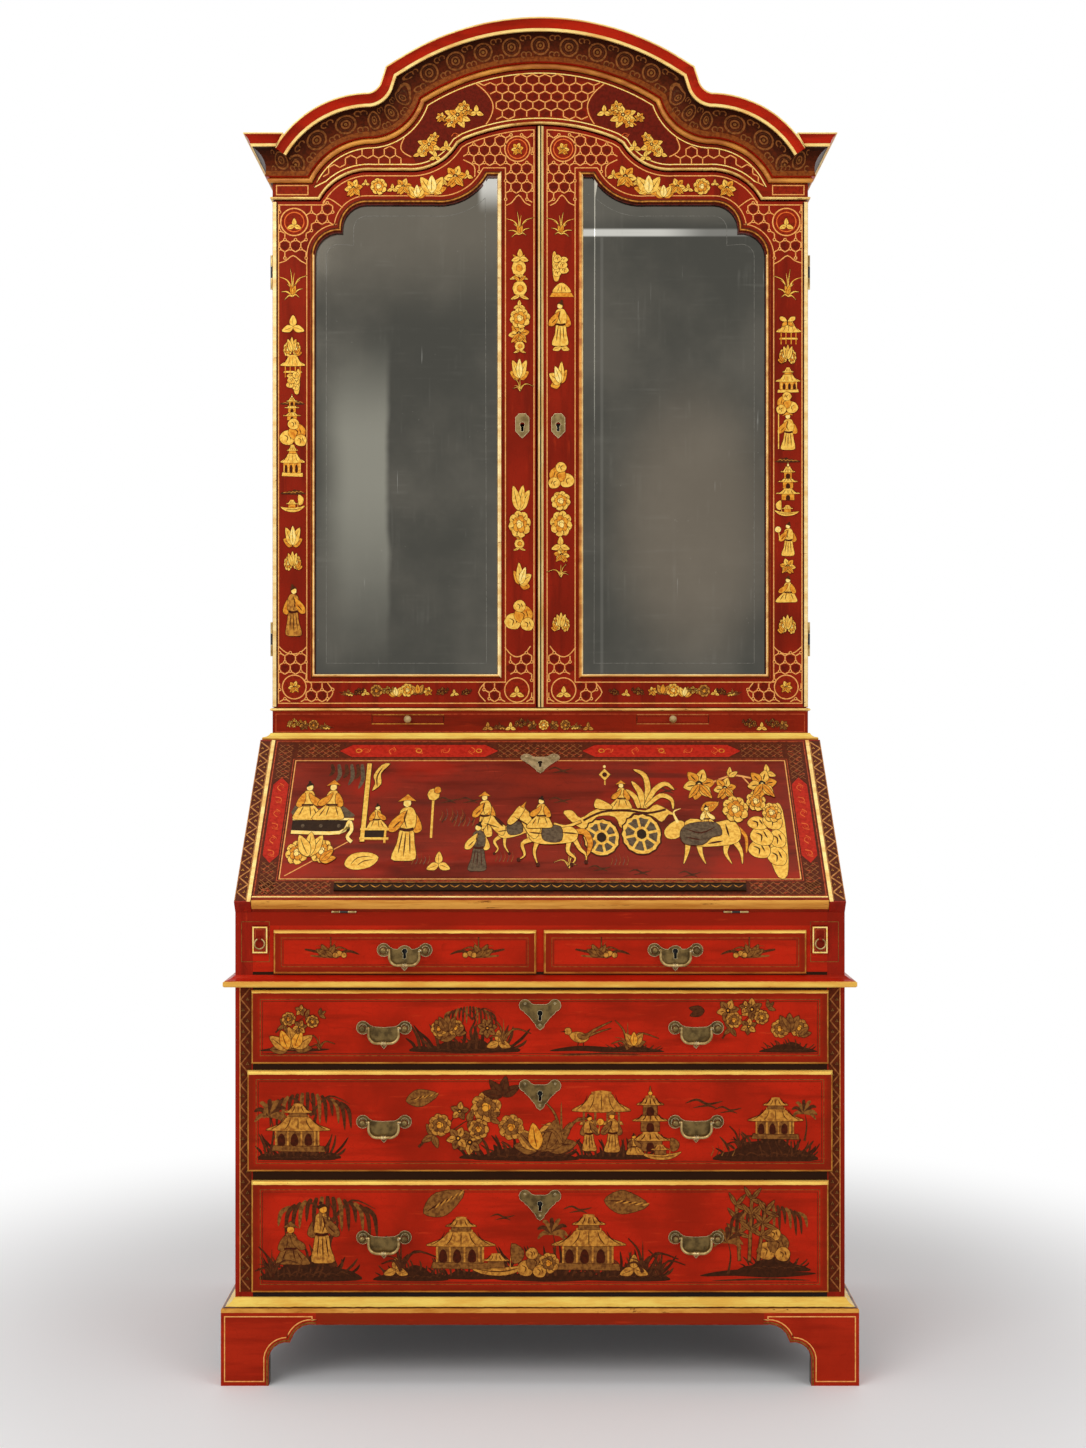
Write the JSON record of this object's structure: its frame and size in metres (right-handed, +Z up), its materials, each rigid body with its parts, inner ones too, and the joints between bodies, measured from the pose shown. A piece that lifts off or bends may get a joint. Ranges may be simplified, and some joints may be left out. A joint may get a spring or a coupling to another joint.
{
  "type": "bureau bookcase",
  "caption": "Slant-front writing desk over drawers, with a shallow mirrored-door cabinet above under an arched cornice; red japanned wood with brass fittings.",
  "frame": {"origin": "on the floor, under the middle of the whole bureau's box", "axes": "+Z up, +X to the right of someone facing the front, +Y from the front to the back"},
  "size_m": [1.028, 0.5988, 2.2758],
  "materials": {
    "red_lacquer": "aged scarlet japanning with worn gilt decoration",
    "crimson_lacquer": "aged crimson japanning with worn gilt decoration",
    "dark_lacquer": "dark japanning with gilt pattern",
    "gilding": "worn gilding on wood",
    "bare_wood": "plain oak and pine",
    "mirror_glass": "bevelled, slightly foxed mirror",
    "brass": "aged brass, bright at the edges"
  },
  "bodies": {
    "carcase": {"bureau_sides": "red_lacquer", "bureau_back": "bare_wood", "bureau_bottom": "red_lacquer", "desk_top": "crimson_lacquer", "writing_board": "crimson_lacquer", "drawer_dividers": "red_lacquer", "support_partitions": "red_lacquer", "pigeonhole_nest": "bare_wood", "waist_moulding": "gilding", "base_moulding": "gilding", "bracket_feet": "red_lacquer", "desk_top_moulding": "gilding", "cabinet_sides": "red_lacquer", "cabinet_base": "red_lacquer", "cabinet_back": "bare_wood", "cabinet_shelves": "bare_wood", "frieze_board": "crimson_lacquer", "cabinet_roof": "bare_wood", "cornice": "red_lacquer", "cabinet_beads": "gilding", "hinge_pins": "brass"},
    "fall": {"fall_board": "crimson_lacquer", "book_rest": "dark_lacquer", "fall_brasses": "brass"},
    "door_left": {"door_frame_left": "crimson_lacquer", "door_mirror_left": "mirror_glass", "door_backing_left": "bare_wood", "door_brasses_left": "brass"},
    "door_right": {"door_frame_right": "crimson_lacquer", "door_mirror_right": "mirror_glass", "door_backing_right": "bare_wood", "door_brasses_right": "brass", "meeting_astragal": "gilding"},
    "candle_slide_left": {"candle_slide_left": "red_lacquer"},
    "candle_slide_right": {"candle_slide_right": "red_lacquer"},
    "fall_support_left": {"fall_support_left": "red_lacquer"},
    "support_ring_left": {"support_ring_left": "brass"},
    "fall_support_right": {"fall_support_right": "red_lacquer"},
    "support_ring_right": {"support_ring_right": "brass"},
    "long_drawer_1": {"long_drawer_front_1": "red_lacquer", "long_drawer_box_1": "bare_wood", "long_drawer_brasses_1": "brass"},
    "long_drawer_2": {"long_drawer_front_2": "red_lacquer", "long_drawer_box_2": "bare_wood", "long_drawer_brasses_2": "brass"},
    "long_drawer_3": {"long_drawer_front_3": "red_lacquer", "long_drawer_box_3": "bare_wood", "long_drawer_brasses_3": "brass"},
    "short_drawer_left": {"short_drawer_left": "red_lacquer", "short_drawer_brasses_left": "brass"},
    "short_drawer_right": {"short_drawer_right": "red_lacquer", "short_drawer_brasses_right": "brass"},
    "bail_1_left": {"bail_1_left": "brass"},
    "bail_1_right": {"bail_1_right": "brass"},
    "bail_2_left": {"bail_2_left": "brass"},
    "bail_2_right": {"bail_2_right": "brass"},
    "bail_3_left": {"bail_3_left": "brass"},
    "bail_3_right": {"bail_3_right": "brass"},
    "short_bail_left": {"short_bail_left": "brass"},
    "short_bail_right": {"short_bail_right": "brass"}
  },
  "joints": [
    {"name": "fall_hinge", "type": "hinge", "parent": "carcase", "child": "fall", "pos_m": [0, -0.2716, 0.752], "axis": [1, 0, 0], "range_deg": [0, 139.6]},
    {"name": "door_left_hinge", "type": "hinge", "parent": "carcase", "child": "door_left", "pos_m": [-0.4723, 0.05325, 1.524], "axis": [0, 0, -1], "range_deg": [0, 110]},
    {"name": "door_right_hinge", "type": "hinge", "parent": "carcase", "child": "door_right", "pos_m": [0.4723, 0.05325, 1.524], "axis": [0, 0, 1], "range_deg": [0, 110]},
    {"name": "candle_slide_left_slide", "type": "slide", "parent": "carcase", "child": "candle_slide_left", "axis": [0, -1, 0], "range_m": [0, 0.12]},
    {"name": "candle_slide_right_slide", "type": "slide", "parent": "carcase", "child": "candle_slide_right", "axis": [0, -1, 0], "range_m": [0, 0.12]},
    {"name": "fall_support_left_slide", "type": "slide", "parent": "carcase", "child": "fall_support_left", "axis": [0, -1, 0], "range_m": [0, 0.29]},
    {"name": "support_ring_left_swing", "type": "hinge", "parent": "fall_support_left", "child": "support_ring_left", "pos_m": [-0.44775, -0.2789, 0.7095], "axis": [-1, 0, 0], "range_deg": [0, 90]},
    {"name": "fall_support_right_slide", "type": "slide", "parent": "carcase", "child": "fall_support_right", "axis": [0, -1, 0], "range_m": [0, 0.29]},
    {"name": "support_ring_right_swing", "type": "hinge", "parent": "fall_support_right", "child": "support_ring_right", "pos_m": [0.44775, -0.2789, 0.7095], "axis": [-1, 0, 0], "range_deg": [0, 90]},
    {"name": "long_drawer_1_slide", "type": "slide", "parent": "carcase", "child": "long_drawer_1", "axis": [0, -1, 0], "range_m": [0, 0.4]},
    {"name": "long_drawer_2_slide", "type": "slide", "parent": "carcase", "child": "long_drawer_2", "axis": [0, -1, 0], "range_m": [0, 0.4]},
    {"name": "long_drawer_3_slide", "type": "slide", "parent": "carcase", "child": "long_drawer_3", "axis": [0, -1, 0], "range_m": [0, 0.4]},
    {"name": "short_drawer_left_slide", "type": "slide", "parent": "carcase", "child": "short_drawer_left", "axis": [0, -1, 0], "range_m": [0, 0.4]},
    {"name": "short_drawer_right_slide", "type": "slide", "parent": "carcase", "child": "short_drawer_right", "axis": [0, -1, 0], "range_m": [0, 0.4]},
    {"name": "bail_1_left_swing", "type": "hinge", "parent": "long_drawer_1", "child": "bail_1_left", "pos_m": [-0.249, -0.2884, 0.568], "axis": [-1, 0, 0], "range_deg": [0, 90]},
    {"name": "bail_1_right_swing", "type": "hinge", "parent": "long_drawer_1", "child": "bail_1_right", "pos_m": [0.249, -0.2884, 0.568], "axis": [-1, 0, 0], "range_deg": [0, 90]},
    {"name": "bail_2_left_swing", "type": "hinge", "parent": "long_drawer_2", "child": "bail_2_left", "pos_m": [-0.249, -0.2884, 0.418], "axis": [-1, 0, 0], "range_deg": [0, 90]},
    {"name": "bail_2_right_swing", "type": "hinge", "parent": "long_drawer_2", "child": "bail_2_right", "pos_m": [0.249, -0.2884, 0.418], "axis": [-1, 0, 0], "range_deg": [0, 90]},
    {"name": "bail_3_left_swing", "type": "hinge", "parent": "long_drawer_3", "child": "bail_3_left", "pos_m": [-0.249, -0.2884, 0.2335], "axis": [-1, 0, 0], "range_deg": [0, 90]},
    {"name": "bail_3_right_swing", "type": "hinge", "parent": "long_drawer_3", "child": "bail_3_right", "pos_m": [0.249, -0.2884, 0.2335], "axis": [-1, 0, 0], "range_deg": [0, 90]},
    {"name": "short_bail_left_swing", "type": "hinge", "parent": "short_drawer_left", "child": "short_bail_left", "pos_m": [-0.216, -0.2884, 0.692], "axis": [-1, 0, 0], "range_deg": [0, 90]},
    {"name": "short_bail_right_swing", "type": "hinge", "parent": "short_drawer_right", "child": "short_bail_right", "pos_m": [0.216, -0.2884, 0.692], "axis": [-1, 0, 0], "range_deg": [0, 90]}
  ]
}
